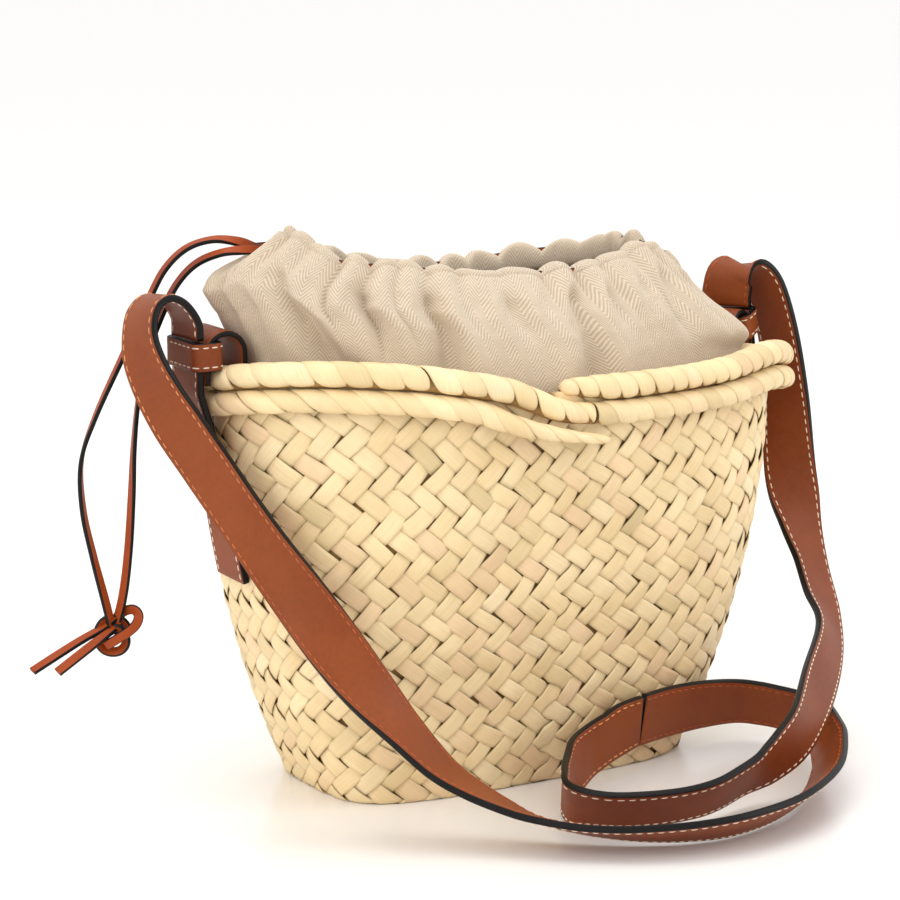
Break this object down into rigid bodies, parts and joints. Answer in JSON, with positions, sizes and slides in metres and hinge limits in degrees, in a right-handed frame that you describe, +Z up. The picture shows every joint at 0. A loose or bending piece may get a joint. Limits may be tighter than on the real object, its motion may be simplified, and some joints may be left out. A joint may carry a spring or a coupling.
{
  "type": "bucket bag",
  "caption": "Small woven palm-leaf bucket bag with a wrapped rope rim, a gathered cloth drawstring neck with leather laces, and a long leather shoulder strap looped on the floor.",
  "frame": {"origin": "middle of the mouth's plan, on the floor under the base", "axes": "+X along the mouth from the left strap end to the right one, -Y the front face, +Z up"},
  "size_m": [0.3813, 0.2357, 0.2416],
  "materials": {
    "leaf": "dried palm leaf, satin, plaited",
    "linen": "herringbone linen, matt",
    "lace_leather": "flat lace, painted dark edges",
    "strap_leather": "smooth calf, stitched, painted dark edges"
  },
  "bodies": {
    "bag": {"basket_base": "leaf", "basket_wall": "leaf", "rim_rope_upper_turn": "leaf", "rim_rope_lower_turn": "leaf", "liner_bag": "linen", "liner_neck": "linen", "neck_hem_front": "linen", "neck_hem_back": "linen", "left_lace_in_hem": "lace_leather", "right_lace_in_hem": "lace_leather", "strap_left_length": "strap_leather", "strap_right_length": "strap_leather", "strap_leg_left": "strap_leather", "strap_leg_right": "strap_leather", "rim_tab_left": "strap_leather", "rim_tab_right": "strap_leather", "keeper_left": "strap_leather", "keeper_right": "strap_leather"},
    "left_drawcord": {"left_lace_front_strand": "lace_leather", "left_lace_back_strand": "lace_leather", "left_lace_knot": "lace_leather", "left_lace_long_tail": "lace_leather", "left_lace_short_tail": "lace_leather"},
    "right_drawcord": {"right_lace_front_strand": "lace_leather", "right_lace_back_strand": "lace_leather", "right_lace_knot": "lace_leather", "right_lace_long_tail": "lace_leather", "right_lace_short_tail": "lace_leather"}
  },
  "joints": [
    {"name": "left_drawcord_pull", "type": "slide", "parent": "bag", "child": "left_drawcord", "axis": [-1, 0, 0], "range_m": [0, 0.03]},
    {"name": "right_drawcord_pull", "type": "slide", "parent": "bag", "child": "right_drawcord", "axis": [0, 1, 0], "range_m": [0, 0.025]}
  ]
}
